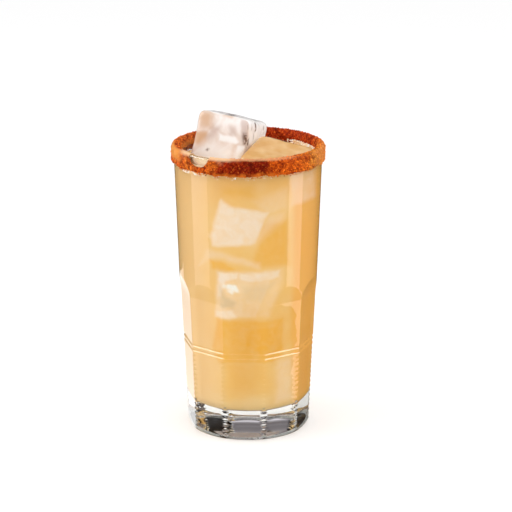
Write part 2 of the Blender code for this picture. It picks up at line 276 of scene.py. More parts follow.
def clear_ice():
    """Freezer ice, melting: wet and glossy, milky with fine bubbles, stained by the drink, and
    cracked along its right side."""
    material, tree = blank_material("clear melting ice")
    place = add(tree, COORDINATES).outputs["Object"]
    milk = add(
        tree, NOISE, {"Vector": place, "Scale": 1 / (9 * MM), "Detail": 3.0, "Distortion": 0.8}
    )
    colour = add(tree, RAMP, (milk,), ((0.35, "#E4D2C6"), (0.5, "#F1E6DF"), (0.64, "#FDF8F6")))
    layers = []
    # White is milky ice, and in places painted light: painted highlights on the front, and the
    # right side and the top painted white over most of their faces.
    for kind, code in (("stain", "#D6AE8B"), ("shade", "#CDB6AC"), ("white", "#FFFFFF")):
        seen = add(tree, ATTRIBUTE, attribute_name=kind).outputs["Fac"]
        layers.append((seen, code))
    upright = add(tree, "ShaderNodeMapping", {"Vector": place, "Scale": (900.0, 900.0, 130.0)})
    lines = add(tree, NOISE, {"Vector": upright, "Scale": 1.0, "Detail": 2.0})
    facing = add(tree, "ShaderNodeNewGeometry").outputs["Normal"]
    side = add(tree, VECTOR_MATH, (facing, (0.90, -0.36, -0.24)), operation="DOT_PRODUCT")
    on_side = add(tree, RANGE, (side, 0.45, 0.7), interpolation_type="SMOOTHSTEP")
    lined = add(tree, RANGE, (lines, 0.40, 0.34, 0.0, 0.4))
    crack = add(tree, ATTRIBUTE, attribute_name="crack").outputs["Fac"]
    specks = add(tree, NOISE, {"Vector": place, "Scale": 1 / (1.4 * MM), "Detail": 2.0})
    broken = add(tree, RANGE, (specks, 0.35, 0.5, 0.25, 1.0))
    side_lines = add(tree, MATH, (on_side, lined), operation="MULTIPLY")
    marks = add(tree, MATH, (crack, broken, side_lines), operation="MULTIPLY_ADD")
    marks = add(tree, MATH, (marks, 0.95), operation="MINIMUM")
    colour = lay_over(tree, colour, [*layers, (marks, "#5A3418")])
    dimples = add(tree, NOISE, {"Vector": place, "Scale": 1 / (5 * MM), "Detail": 2.0})
    bump = add(tree, BUMP, {"Height": dimples, "Strength": 0.6, "Distance": 0.3 * MM})
    shader = add(tree, PRINCIPLED, {
        "Base Color": colour, "Roughness": 0.12, "IOR": 1.31, "Specular IOR Level": 0.2,
        "Transmission Weight": 0.2, "Normal": bump,
    })
    mixed = let_lamps_through(tree, shader, "#F6F2EE", 0.8)
    add(tree, MATERIAL_OUTPUT, {"Surface": mixed})
    return material


def wet_ice():
    """Ice wet with the drink: a glossy amber film, uneven in depth, over milky ice."""
    material, tree = blank_material("ice wet with drink")
    place = add(tree, COORDINATES).outputs["Object"]
    film = add(tree, NOISE, {"Vector": place, "Scale": 1 / (11 * MM), "Detail": 2.5})
    colour = add(tree, RAMP, (film,), ((0.35, "#DBA761"), (0.5, "#E4B77A"), (0.66, "#EFCB9A")))
    shader = add(tree, PRINCIPLED, {
        "Base Color": colour, "Roughness": 0.12, "IOR": 1.31, "Transmission Weight": 0.15,
    })
    mixed = let_lamps_through(tree, shader, "#E8CFA0", 0.5)
    add(tree, MATERIAL_OUTPUT, {"Surface": mixed})
    return material


def milky_ice():
    """The sunk cubes: ice full of fine bubbles, which shows as a pale shape in the drink."""
    material, tree = blank_material("milky sunk ice")
    place = add(tree, COORDINATES).outputs["Object"]
    milk = add(tree, NOISE, {"Vector": place, "Scale": 1 / (8 * MM), "Detail": 3.0})
    colour = add(tree, RAMP, (milk,), ((0.35, "#F3DFC2"), (0.65, "#FFF8EE")))
    shader = add(tree, PRINCIPLED, {"Base Color": colour, "Roughness": 0.3, "IOR": 1.31})
    mixed = let_lamps_through(tree, shader, "#F8EAD4", 0.7)
    add(tree, MATERIAL_OUTPUT, {"Surface": mixed})
    return material


# The crust's colour round the rim, by the angle in degrees from the camera's side: where it is
# damp with syrup it is dark, and where it is thin it is orange. At the back left, about -140 to
# -95, it is painted brighter as well: painted light, where light comes through the left cube onto
# the inside of the crust.
CRUST_ZONES = (
    (-180, "#CE4818"), (-140, "#E0662A"), (-120, "#FF9040"), (-95, "#F6822E"), (-62, "#FF7C26"),
    (-50, "#F69A3E"), (-38, "#FA701E"), (-30, "#F88A2C"), (-22, "#BE3A0E"), (-4, "#9C270A"),
    (12, "#962108"), (19, "#FA7618"), (34, "#FC7C1E"), (50, "#FA8A28"), (60, "#FFB246"),
    (80, "#FF9C3A"), (112, "#F06426"), (135, "#DC5220"), (180, "#CE4818"),
)


def chili_crust():
    """Ground chili and salt, damp and pressed on: rust red, dark where wet, orange where thin,
    and grainy with crushed skins and seeds. The top of the rim is licked bare at the front left."""
    material, tree = blank_material("ground chili and salt")
    place = add(tree, COORDINATES).outputs["Object"]
    parts = add(tree, SEPARATE, {0: place}).outputs
    toward = add(tree, MATH, (parts["Y"], -1.0), operation="MULTIPLY")
    angle = add(tree, MATH, (parts["X"], toward), operation="ARCTAN2")
    wobble = add(tree, NOISE, {"Vector": place, "Scale": 1 / (5 * MM), "Detail": 2.0})
    shifted = add(tree, MATH, (wobble, 0.5, angle), operation="MULTIPLY_ADD")
    around = add(tree, RANGE, (shifted, -math.pi + 0.25, math.pi + 0.25))
    zone = add(tree, RAMP, (around,), [((a + 180) / 360, code) for a, code in CRUST_ZONES])
    clumps = add(tree, NOISE, {"Vector": place, "Scale": 1 / (3.2 * MM), "Detail": 2.0})
    uneven = add(tree, RAMP, (clumps,), ((0.34, "#B4907E"), (0.44, "#E2CCC0"), (0.54, "#FFFFFF")))
    colour = add(
        tree, MIX, {"Factor": 1.0, 6: zone, 7: uneven}, data_type="RGBA", blend_type="MULTIPLY"
    )
    speck = add(tree, NOISE, {"Vector": place, "Scale": 1 / (1.1 * MM), "Detail": 3.0})
    dark = add(tree, RANGE, (speck, 0.5, 0.57, 0.0, 0.55))
    bright = add(tree, RANGE, (speck, 0.46, 0.32, 0.0, 0.35))
    colour = lay_over(tree, colour, ((dark, "#6E1C06"), (bright, "#E67A26")))
    tone, bare, syrup_and_painted_light = [
        add(tree, ATTRIBUTE, attribute_name=name).outputs["Fac"]
        for name in ("tone", "bare", "syrup_and_painted_light")
    ]
    # Grains of low tone, drawn at random, and the crust under the grains, which has no tone, are
    # painted darker: painted shade of grains that lie deeper.
    sunk = add(tree, RAMP, (tone,), ((0.0, "#C8B4AA"), (0.35, "#E8DED8"), (0.6, "#FFFFFF")))
    colour = add(
        tree, MIX, {"Factor": 1.0, 6: colour, 7: sunk}, data_type="RGBA", blend_type="MULTIPLY"
    )
    pale = add(tree, RANGE, (tone, 0.75, 1.0, 0.0, 0.3))
    # The crest at the front is worn thin, and loose orange grains hang under the front
    crest = add(tree, MATH, (wobble, 0.0012, parts["Z"]), operation="MULTIPLY_ADD")
    top = add(tree, RANGE, (crest, 0.1502, 0.1510, 0.0, 0.65))
    front = add(tree, RANGE, (toward, 0.028, 0.036))
    thin = add(tree, MATH, (top, front), operation="MULTIPLY")
    low = add(tree, MATH, (wobble, 0.006, parts["Z"]), operation="MULTIPLY_ADD")
    foot = add(tree, RANGE, (low, 0.1472, 0.1452, 0.0, 0.75))
    middle = add(tree, RANGE, (toward, 0.0335, 0.0365))
    loose = add(tree, MATH, (foot, middle), operation="MULTIPLY")
    # The smear colour is syrup on the outside, and painted light on the inside at the back left.
    colour = lay_over(tree, colour, (
        (pale, "#F29030"), (loose, "#DE7626"), (thin, "#F2B47C"), (bare, "#E6BC92"),
        (syrup_and_painted_light, "#DE9148"),
    ))
    smooth = add(tree, MATH, (bare, syrup_and_painted_light), operation="MAXIMUM")
    rough = add(tree, RANGE, (smooth, 0.0, 1.0, 0.65, 0.2))
    lumps = add(tree, NOISE, {"Vector": place, "Scale": 1 / (0.6 * MM), "Detail": 2.0})
    bump = add(tree, BUMP, {"Height": lumps, "Strength": 0.5, "Distance": 0.2 * MM})
    shader = add(tree, PRINCIPLED, {
        "Base Color": colour, "Roughness": rough, "Specular IOR Level": 0.03, "Normal": bump,
    })
    add(tree, MATERIAL_OUTPUT, {"Surface": shader})
    return material


def salt_grains():
    """Coarse salt that the chili hasn't coloured, wet at the edge of the crust."""
    material, tree = blank_material("coarse wet salt")
    place = add(tree, COORDINATES).outputs["Object"]
    tint = add(tree, NOISE, {"Vector": place, "Scale": 1 / (2 * MM), "Detail": 1.0})
    colour = add(tree, RAMP, (tint,), ((0.35, "#F6CC94"), (0.5, "#FBE2BE"), (0.62, "#FFFAF2")))
    shader = add(tree, PRINCIPLED, {"Base Color": colour, "Roughness": 0.25, "IOR": 1.54})
    add(tree, MATERIAL_OUTPUT, {"Surface": shader})
    return material


def floor_finish():
    """A matt white table."""
    material, tree = blank_material("matt white table")
    shader = add(tree, "ShaderNodeBsdfDiffuse", {"Color": linear("#FBFBFB")})
    add(tree, MATERIAL_OUTPUT, {"Surface": shader})
    return material


def new_object(name, mesh):
    obj = bpy.data.objects.new(name, mesh)
    bpy.context.scene.collection.objects.link(obj)
    return obj


def store(mesh, layers):
    """Stores a value on each point of the mesh, by the names of the layers."""
    for name, values in layers.items():
        mesh.attributes.new(name, "FLOAT", "POINT").data.foreach_set("value", values)


def object_of(name, places, faces):
    mesh = bpy.data.meshes.new(name)
    mesh.from_pydata(places, [], faces)
    return new_object(name, mesh)


def object_of_work(name, work):
    """The object of a bmesh, which is freed."""
    mesh = bpy.data.meshes.new(name)
    work.to_mesh(mesh)
    work.free()
    return new_object(name, mesh)


def set_inputs(modifier, values):
    """Sets a Geometry Nodes modifier's inputs by their names."""
    for item in modifier.node_group.interface.items_tree:
        if item.item_type == "SOCKET" and item.in_out == "INPUT" and item.name in values:
            modifier[item.identifier] = values[item.name]


def run_nodes(obj, tree, values):
    """Gives the object the plain mesh that the node tree makes of it."""
    modifier = obj.modifiers.new(tree.name, "NODES")
    modifier.node_group = tree
    set_inputs(modifier, values)
    bake(obj)


def bake(obj):
    """Gives the object the plain mesh that its modifiers make."""
    bpy.context.view_layer.update()
    graph = bpy.context.evaluated_depsgraph_get()
    mesh = bpy.data.meshes.new_from_object(obj.evaluated_get(graph))
    obj.modifiers.clear()
    obj.data = mesh


def dress(obj, material):
    obj.data.materials.clear()
    obj.data.materials.append(material)
    obj.data.shade_smooth()


def outer_radius(height):
    return RIM_RADIUS - OUTER_TAPER * (GLASS_HEIGHT - height)


def inner_radius(height):
    return RIM_RADIUS - RIM_WALL - INNER_TAPER * (GLASS_HEIGHT - height)


def arc(centre_x, centre_z, radius, start, end, steps):
    """Points on an arc in the XZ plane, with its angles in degrees."""
    angles = [math.radians(start + (end - start) * i / steps) for i in range(steps + 1)]
    return [(centre_x + radius * math.cos(a), centre_z + radius * math.sin(a)) for a in angles]


def spaced(start, end, step):
    """Heights from start to end, both included, about step apart."""
    count = max(1, round(abs(end - start) / step))
    return [start + (end - start) * i / count for i in range(count + 1)]


def revolve(name, outline, angles):
    """Turns an outline of (radius, height) points round Z, from its lower to its upper pole."""
    places = [(0.0, 0.0, outline[0][1])]
    for radius, height in outline[1:-1]:
        places += [(radius * math.cos(a), radius * math.sin(a), height) for a in angles]
    places.append((0.0, 0.0, outline[-1][1]))
    count = len(angles)
    rings = len(outline) - 2
    top = len(places) - 1
    faces = []
    for k in range(count):
        after = (k + 1) % count
        faces.append((0, 1 + after, 1 + k))
        faces.append((top, 1 + (rings - 1) * count + k, 1 + (rings - 1) * count + after))
        for ring in range(rings - 1):
            low = 1 + ring * count
            faces.append((low + k, low + after, low + count + after, low + count + k))
    return object_of(name, places, faces)


def outer_skin_heights():
    """Rows up the outside: close together over the notches, the grooves and the arches."""
    heights = spaced(HEEL_RADIUS * 0.01, NOTCH_BOTTOM, 0.0004)
    heights += spaced(NOTCH_BOTTOM, NOTCH_TOP, NOTCH_PITCH / 6)[1:]
    groove_low = GROOVE_HEIGHTS[1] - GROOVE_HALF_WIDTH
    groove_high = GROOVE_HEIGHTS[0] + GROOVE_HALF_WIDTH
    heights += [NOTCH_TOP + SUPPORT, groove_low - SUPPORT]
    heights += spaced(groove_low, groove_high, GROOVE_HALF_WIDTH / 3)
    heights += spaced(groove_high + SUPPORT, ARCH_LOW, 0.004)
    heights += spaced(ARCH_LOW, PANEL_TOP + 2 * SUPPORT, 0.00035)[1:]
    heights += spaced(PANEL_TOP + 4 * SUPPORT, GLASS_HEIGHT - LIP_RADIUS, 0.008)[:-1]
    return heights


def tumbler_outline():
    """From the middle of the foot, out and up the outside, over the lip and down the inside."""
    punt = [(PUNT_RADIUS * part / 6, PUNT_DEPTH * (1 - (part / 6) ** 2)) for part in range(7)]
    heel_centre = outer_radius(HEEL_RADIUS) - HEEL_RADIUS
    outside = [(heel_centre, 0.0)]
    for height in outer_skin_heights():
        if height < HEEL_RADIUS:
            run = math.sqrt(HEEL_RADIUS**2 - (HEEL_RADIUS - height) ** 2)
            outside.append((heel_centre + run, height))
        else:
            outside.append((outer_radius(height), height))
    lip = GLASS_HEIGHT - LIP_RADIUS
    outer_lip = arc(outer_radius(lip) - LIP_RADIUS, lip, LIP_RADIUS, 0.0, 90.0, 5)
    inner_lip = arc(inner_radius(lip) + LIP_RADIUS, lip, LIP_RADIUS, 90.0, 180.0, 5)
    fillet_top = FLOOR_HEIGHT + FLOOR_FILLET
    inside = [(inner_radius(height), height) for height in spaced(lip, fillet_top, 0.012)[1:-1]]
    fillet_x = inner_radius(fillet_top) - FLOOR_FILLET
    fillet = arc(fillet_x, fillet_top, FLOOR_FILLET, 0.0, -90.0, 9)
    floor = [(fillet_x * part, FLOOR_HEIGHT) for part in (0.7, 0.4)]
    return [*punt, *outside, *outer_lip, *inner_lip, *inside, *fillet, *floor, (0.0, FLOOR_HEIGHT)]


def panel_angles():
    """Columns round the wall: close together at the corners, where the notches are."""
    near = math.radians(3.6)
    half = math.pi / PANEL_COUNT
    offsets = spaced(-near, near, math.radians(0.48)) + spaced(near, 2 * half - near, 0.0225)[1:-1]
    angles = []
    for corner in range(PANEL_COUNT):
        start = FIRST_CORNER_ANGLE + 2 * half * corner
        angles += [start + offset for offset in offsets]
    return angles


def geometry_tree(name, numbers, whole_numbers=()):
    """A Geometry Nodes tree that takes a mesh, numbers and a material, and its inputs inside."""
    tree = bpy.data.node_groups.new(name, "GeometryNodeTree")
    kinds = {
        "Geometry": "Geometry", **dict.fromkeys(numbers, "Float"),
        **dict.fromkeys(whole_numbers, "Int"), "Material": "Material",
    }
    for socket, kind in kinds.items():
        tree.interface.new_socket(socket, in_out="INPUT", socket_type="NodeSocket" + kind)
    tree.interface.new_socket("Geometry", in_out="OUTPUT", socket_type="NodeSocketGeometry")
    return tree, add(tree, "NodeGroupInput").outputs


def pressing_tree(sizes):
    """Geometry Nodes that press the panels, grooves and notches into a turned tumbler."""
    tree, given = geometry_tree("press panels", sizes)
    place = add(tree, "GeometryNodeInputPosition")
    parts = add(tree, SEPARATE, {0: place}).outputs
    flat = add(tree, "ShaderNodeCombineXYZ", {0: parts["X"], 1: parts["Y"]})
    radius = add(tree, VECTOR_MATH, {0: flat}, operation="LENGTH")
    height = parts["Z"]
    angle = add(tree, MATH, (parts["Y"], parts["X"]), operation="ARCTAN2")
    step = add(tree, MATH, (2 * math.pi, given["Panel Count"]), operation="DIVIDE")
    half_step = add(tree, MATH, (step, 2.0), operation="DIVIDE")
    from_first = add(tree, MATH, (angle, given["First Corner"]), operation="SUBTRACT")
    turns = add(tree, MATH, (from_first, step), operation="DIVIDE")
    part_turn = add(tree, MATH, (turns,), operation="FRACT")
    off_middle = add(tree, MATH, (part_turn, 0.5), operation="SUBTRACT")
    from_middle = add(tree, MATH, (off_middle, step), operation="MULTIPLY")
    aside = add(tree, MATH, (from_middle,), operation="ABSOLUTE")
    from_corner = add(tree, MATH, (half_step, aside), operation="SUBTRACT")

    corner = add(
        tree, MATH, (height, given["Corner Taper"], given["Corner Radius"]),
        operation="MULTIPLY_ADD",
    )
    narrowing = add(tree, MATH, (half_step,), operation="COSINE")
    straight = add(tree, MATH, (corner, narrowing), operation="MULTIPLY")
    past = add(tree, MATH, (height, given["Straight Top"]), operation="SUBTRACT")
    above = add(tree, MATH, (past, 0.0), operation="MAXIMUM")
    above_squared = add(tree, MATH, (above, above), operation="MULTIPLY")
    wheel = given["Wheel Radius"]
    wheel_squared = add(tree, MATH, (wheel, wheel), operation="MULTIPLY")
    left = add(tree, MATH, (wheel_squared, above_squared), operation="SUBTRACT")
    left = add(tree, MATH, (left, 0.0), operation="MAXIMUM")
    level_part = add(tree, MATH, (left,), operation="SQRT")
    lift = add(tree, MATH, (wheel, level_part), operation="SUBTRACT")
    panel = add(tree, MATH, (straight, lift), operation="ADD")
    for name in ("Groove 1", "Groove 2"):
        off = add(tree, MATH, (height, given[name]), operation="SUBTRACT")
        off = add(tree, MATH, (off,), operation="ABSOLUTE")
        part = add(tree, MATH, (off, given["Groove Half Width"]), operation="DIVIDE")
        inward = add(tree, MATH, (1.0, part), operation="SUBTRACT")
        inward = add(tree, MATH, (inward, 0.0), operation="MAXIMUM")
        depth = add(tree, MATH, (inward, given["Groove Depth"]), operation="MULTIPLY")
        panel = add(tree, MATH, (panel, depth), operation="SUBTRACT")
    slant = add(tree, MATH, (from_middle,), operation="COSINE")
    panel = add(tree, MATH, (panel, slant), operation="DIVIDE")

    down = add(tree, MATH, (given["Notch Top"], height), operation="SUBTRACT")
    count = add(tree, MATH, (down, given["Notch Pitch"]), operation="DIVIDE")
    saw = add(tree, MATH, (count, 0.5), operation="PINGPONG")
    swing = add(tree, MATH, (given["Notch Depth"], given["Notch Land"]), operation="ADD")
    double_swing = add(tree, MATH, (swing, 2.0), operation="MULTIPLY")
    cut_in = add(tree, MATH, (saw, double_swing), operation="MULTIPLY")
    land = add(tree, MATH, (corner, given["Notch Land"]), operation="ADD")
    notch = add(tree, MATH, (land, cut_in), operation="SUBTRACT")
    bend = add(tree, MATH, (from_corner,), operation="COSINE")
    notch = add(tree, MATH, (notch, bend), operation="DIVIDE")
    over = add(tree, MATH, (height, given["Notch Top"]), operation="GREATER_THAN")
    under = add(tree, MATH, (height, given["Notch Bottom"]), operation="LESS_THAN")
    outside = add(tree, MATH, (over, under), operation="ADD")
    notch = add(tree, MATH, (notch, outside), operation="ADD")

    pressed = add(tree, MATH, (radius, panel, given["Panel Edge"]), operation="SMOOTH_MIN")
    pressed = add(tree, MATH, (pressed, notch, given["Notch Edge"]), operation="SMOOTH_MIN")
    safe_radius = add(tree, MATH, (radius, 1e-6), operation="MAXIMUM")
    scale = add(tree, MATH, (pressed, safe_radius), operation="DIVIDE")
    stretch = add(tree, "ShaderNodeCombineXYZ", {0: scale, 1: scale, 2: 1.0})
    moved = add(tree, VECTOR_MATH, {0: place, 1: stretch}, operation="MULTIPLY")
    set_place = add(
        tree, "GeometryNodeSetPosition", {"Geometry": given["Geometry"], "Position": moved}
    )
    painted = add(
        tree, "GeometryNodeSetMaterial", {"Geometry": set_place, "Material": given["Material"]}
    )
    add(tree, "NodeGroupOutput", {0: painted})
    return tree


def make_tumbler(material):
    tumbler = revolve("tumbler", tumbler_outline(), panel_angles())
    rise = PANEL_TOP - PANEL_STRAIGHT_TOP
    corner = CORNER_RADIUS_AT_FOOT + CORNER_TAPER * PANEL_TOP
    run = outer_radius(PANEL_TOP) - corner * math.cos(math.pi / PANEL_COUNT)
    sizes = {
        "Panel Count": float(PANEL_COUNT), "First Corner": FIRST_CORNER_ANGLE,
        "Corner Radius": CORNER_RADIUS_AT_FOOT, "Corner Taper": CORNER_TAPER,
        "Straight Top": PANEL_STRAIGHT_TOP, "Wheel Radius": (rise**2 + run**2) / (2 * run),
        "Groove 1": GROOVE_HEIGHTS[0], "Groove 2": GROOVE_HEIGHTS[1],
        "Groove Depth": GROOVE_DEPTH, "Groove Half Width": GROOVE_HALF_WIDTH,
        "Notch Top": NOTCH_TOP, "Notch Bottom": NOTCH_BOTTOM, "Notch Pitch": NOTCH_PITCH,
        "Notch Depth": NOTCH_DEPTH, "Notch Land": NOTCH_LAND, "Panel Edge": PANEL_EDGE,
        "Notch Edge": NOTCH_EDGE,
    }
    run_nodes(tumbler, pressing_tree(sizes), {**sizes, "Material": material})
    dress(tumbler, material)
    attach(tumbler, BODY)
    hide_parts("glass")


def copy_of_node(name, node):
    """A merged copy of a solid's mesh, to work the fine surface from."""
    work = bmesh.new()
    work.from_mesh(frame["nodes"][node].data)
    bmesh.ops.remove_doubles(work, verts=work.verts, dist=1e-6)
    return object_of_work(name, work)


def melt(obj, voxel, dent, dent_size, seed):
    """Remeshes a block of ice finely and gives it the shallow dents of melting."""
    remesh = obj.modifiers.new("even mesh", "REMESH")
    remesh.mode = "VOXEL"
    remesh.voxel_size = voxel
    smooth = obj.modifiers.new("rounded", "SMOOTH")
    smooth.factor = 0.5
    smooth.iterations = 6
    bake(obj)
    shift = Vector((seed * 3.1, seed * 1.7, seed * 2.3))
    normals = [vert.normal.copy() for vert in obj.data.vertices]
    for vert, normal in zip(obj.data.vertices, normals):
        broad = noise.noise(vert.co / dent_size + shift)
        fine = noise.noise(vert.co / (dent_size * 0.3) - shift)
        vert.co += normal * dent * (broad + 0.35 * fine - 0.4)


# The left cube as it stands in its solid: its middle, its size and its turn in degrees, Z first
CUBE_MIDDLE = Vector((-0.0104, 0.0118, 0.1455))
CUBE_SIZE = Vector((0.0290, 0.0294, 0.0335))
CUBE_TURN = Euler([math.radians(angle) for angle in (-10.3, 13.0, -21.7)], "ZYX").to_matrix()


def cube_side(place):
    """The front, the right side or the top of the left cube, each reaching from -1 to 1."""
    own = CUBE_TURN.inverted() @ (place - CUBE_MIDDLE)
    x, y, z = [2 * part / side for part, side in zip(own, CUBE_SIZE)]
    stray = noise.noise_vector(place / 0.003) * 0.03
    if y < -0.85:
        return x + stray.x, z + stray.z, SEEN_ON_CUBE_FRONT
    if x > 0.85:
        return y + stray.y, z + stray.z, SEEN_ON_CUBE_SIDE
    if z > 0.85:
        return x + stray.x, y + stray.y, SEEN_ON_CUBE_TOP
    return 0.0, 0.0, ()


def make_top_ice(materials):
    """The two cubes that stand out of the drink."""
    cubes = (("ice_cube_left", "clear_ice", 0.0005), ("ice_cube_right", "wet_ice", 0.0008))
    for seed, (node, slot, voxel) in enumerate(cubes):
        cube = copy_of_node(node + "_melting", node)
        melt(cube, voxel, dent=0.0004, dent_size=0.009, seed=seed + 1)
        if node == "ice_cube_left":
            paint_shapes(cube, cube_side, ("stain", "white", "shade", "crack"))
        dress(cube, materials[slot])
        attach(cube, BODY)
        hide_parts(node)


# Ice that is wholly sunk. Each block has the corners of the side that faces the front of the
# glass, as X and Z in mm from the top left clockwise, the Y of that side, and its depth in mm.
SUNK_ICE = {
    "sunk_ice_upper": (((-13.0, 127.0), (9.6, 121.6), (3.0, 106.0), (-19.4, 105.2)), -25.0, 14.0),
    "sunk_ice_middle": (((-21.0, 102.0), (2.0, 97.5), (5.0, 94.5), (-20.0, 94.0)), -15.0, 12.0),
    "sunk_ice_lower": (((-17.6, 92.5), (16.4, 92.8), (16.8, 69.0), (-16.6, 67.5)), -24.0, 20.0),
}


def make_sunk_ice(material):
    """The cubes that show only as pale shapes through the drink."""
    for seed, (name, (corners, front, depth)) in enumerate(SUNK_ICE.items()):
        work = bmesh.new()
        bmesh.ops.create_cube(work, size=1.0)
        for vert in work.verts:
            lower_or_upper = ((3, 2), (0, 1))[vert.co.z > 0]
            x, z = corners[lower_or_upper[vert.co.x > 0]]
            vert.co = Vector((x, front + depth * (vert.co.y > 0), z)) * MM
        cube = object_of_work(name, work)
        bevel = cube.modifiers.new("melted edges", "BEVEL")
        bevel.width = 0.0028
        bevel.segments = 4
        bevel.limit_method = "NONE"
        melt(cube, voxel=0.0009, dent=0.0006, dent_size=0.008, seed=seed + 5)
        dress(cube, material)
        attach(cube, BODY)


# What shows through the front wall, where the drink in front of it is thin: pale faces of ice,
# their shaded sides, and deep drink between them. Each is its kind, how soft its edge is in mm,
# how strongly it shows, and its corners as X and Z in mm.
SEEN_IN_DRINK = (
    ("ice", 1.4, 0.85, (
        (-13.3, 128.9), (-8.0, 126.0), (9.6, 123.0), (3.4, 107.6), (1.0, 106.2), (-17.2, 104.6),
        (-18.3, 109.5),
    )),
    ("ice", 2.4, 0.30, ((8.4, 121.2), (18.4, 122.8), (17.0, 118.4), (6.4, 109.0), (2.9, 106.2))),
    ("ice", 3.0, 0.25, ((3.0, 129.0), (19.5, 135.5), (19.5, 124.0), (7.9, 121.6))),
    ("ice", 1.6, 0.30, (
        (-24.0, 92.8), (-20.0, 102.0), (-12.0, 101.6), (-12.0, 98.6), (-19.0, 97.4),
    )),
    ("ice", 1.6, 0.38, ((-14.0, 101.8), (5.5, 96.8), (5.8, 93.6), (-4.0, 95.6), (-14.0, 98.8))),
    ("ice", 1.2, 0.45, ((-15.3, 91.8), (11.5, 92.6), (10.5, 84.0), (4.0, 67.4), (-15.8, 67.6))),
    ("ice", 2.2, 0.28, ((9.0, 92.4), (17.0, 92.6), (17.3, 86.0), (10.0, 67.6), (2.0, 67.6))),
    ("ice", 1.3, 0.85, ((-5.1, 91.4), (15.4, 92.0), (15.0, 88.4), (6.0, 86.4), (-4.2, 87.4))),
    ("ice", 1.2, 0.95, (
        (-14.8, 91.2), (-5.1, 91.6), (-5.1, 88.0), (-10.8, 86.3), (-13.0, 78.6), (-14.8, 78.2),
    )),
    ("ice", 1.3, 0.80, ((-16.2, 70.4), (-8.4, 71.8), (-5.2, 67.6), (-9.6, 66.4), (-16.0, 66.8))),
    ("ice", 1.8, 0.40, ((20.6, 141.0), (32.0, 141.0), (32.0, 126.0), (20.6, 124.5))),
    ("ice", 2.5, 0.35, ((14.0, 43.0), (22.0, 43.0), (22.0, 20.0), (14.0, 20.0))),
    ("shade", 1.4, 0.75, (
        (-13.6, 83.6), (-11.0, 78.8), (-6.2, 75.2), (-8.2, 72.3), (-12.8, 72.8),
    )),
    ("shade", 2.4, 0.45, ((-2.6, 83.6), (12.4, 85.6), (6.4, 76.4), (-1.0, 77.4))),
    ("deep", 3.0, 0.60, (
        (-12.0, 134.5), (2.6, 138.0), (3.0, 130.6), (-4.0, 131.0), (-12.0, 132.2),
    )),
    ("deep", 2.2, 0.70, ((6.4, 117.2), (19.0, 117.6), (19.6, 94.4), (1.4, 94.8), (4.4, 103.4))),
    ("deep", 1.2, 0.75, (
        (-18.6, 96.9), (-12.2, 96.6), (-6.6, 93.6), (-9.0, 92.6), (-17.6, 92.8),
    )),
    ("deep", 1.3, 0.75, (
        (-15.2, 65.8), (17.4, 65.4), (17.2, 45.0), (12.0, 42.6), (-14.4, 42.6), (-18.0, 50.0),
    )),
    ("deep", 4.0, 1.00, ((-2.0, 62.8), (16.6, 64.4), (16.6, 50.4), (7.0, 46.0), (-3.4, 49.6))),
    ("deep", 3.0, 0.35, ((-11.5, 43.2), (9.0, 43.2), (10.5, 26.0), (-11.2, 22.0))),
    ("deep", 3.0, 0.25, ((19.5, 72.0), (32.0, 72.0), (32.0, 52.0), (19.5, 52.0))),
)

# What shows in the left cube, with corners in its own box, from -1 to 1: X and Z on its front,
# Y and Z on its right side, X and Y on its top. White is milky ice, partly painted highlight on
# the front; on the right side and the top it is painted light over most of the face.
SEEN_ON_CUBE_FRONT = (
    ("stain", 0.20, 0.80, ((-1.0, 0.95), (-0.50, 0.97), (-0.36, 0.48), (-0.85, 0.36))),
    ("stain", 0.14, 1.00, (
        (-1.0, 0.30), (-0.48, 0.38), (-0.30, 0.02), (-0.48, -0.10), (-0.95, -0.12),
    )),
    ("stain", 0.06, 0.70, ((-0.05, 1.0), (0.30, 1.0), (0.30, 0.90), (-0.05, 0.92))),
    ("stain", 0.08, 0.35, ((0.56, 0.16), (0.70, 0.18), (0.68, -0.24), (0.57, -0.26))),
    ("white", 0.16, 0.55, ((-0.30, 0.86), (0.42, 0.86), (0.55, 0.74), (-0.22, 0.60))),
    ("white", 0.05, 1.00, ((-0.02, 0.36), (0.60, 0.38), (0.74, 0.26), (0.66, 0.20), (0.02, 0.16))),
    ("white", 0.22, 0.70, (
        (-0.40, 0.10), (0.55, 0.02), (0.60, -0.60), (-0.70, -0.60), (-0.60, -0.10),
    )),
    ("white", 0.05, 1.00, ((0.74, 0.14), (1.0, 0.22), (1.0, -0.40), (0.80, -0.40))),
    ("shade", 0.12, 0.65, (
        (-0.34, 0.56), (-0.04, 0.60), (-0.14, 0.36), (-0.34, 0.10), (-0.50, 0.16),
    )),
    ("shade", 0.10, 0.65, ((0.24, 0.70), (0.52, 0.72), (0.60, 0.44), (0.36, 0.40))),
    ("shade", 0.06, 0.70, ((0.62, 0.95), (1.0, 1.0), (1.0, 0.42), (0.80, 0.40))),
    ("shade", 0.02, 0.30, ((-0.60, -0.44), (1.0, -0.18), (1.0, -0.22), (-0.60, -0.49))),
    ("crack", 0.03, 0.75, ((-0.34, -0.12), (-0.26, -0.14), (-0.30, -0.20), (-0.38, -0.19))),
    ("crack", 0.08, 0.90, ((0.84, 0.56), (1.0, 0.56), (1.0, 0.22), (0.92, 0.24), (0.85, 0.40))),
)
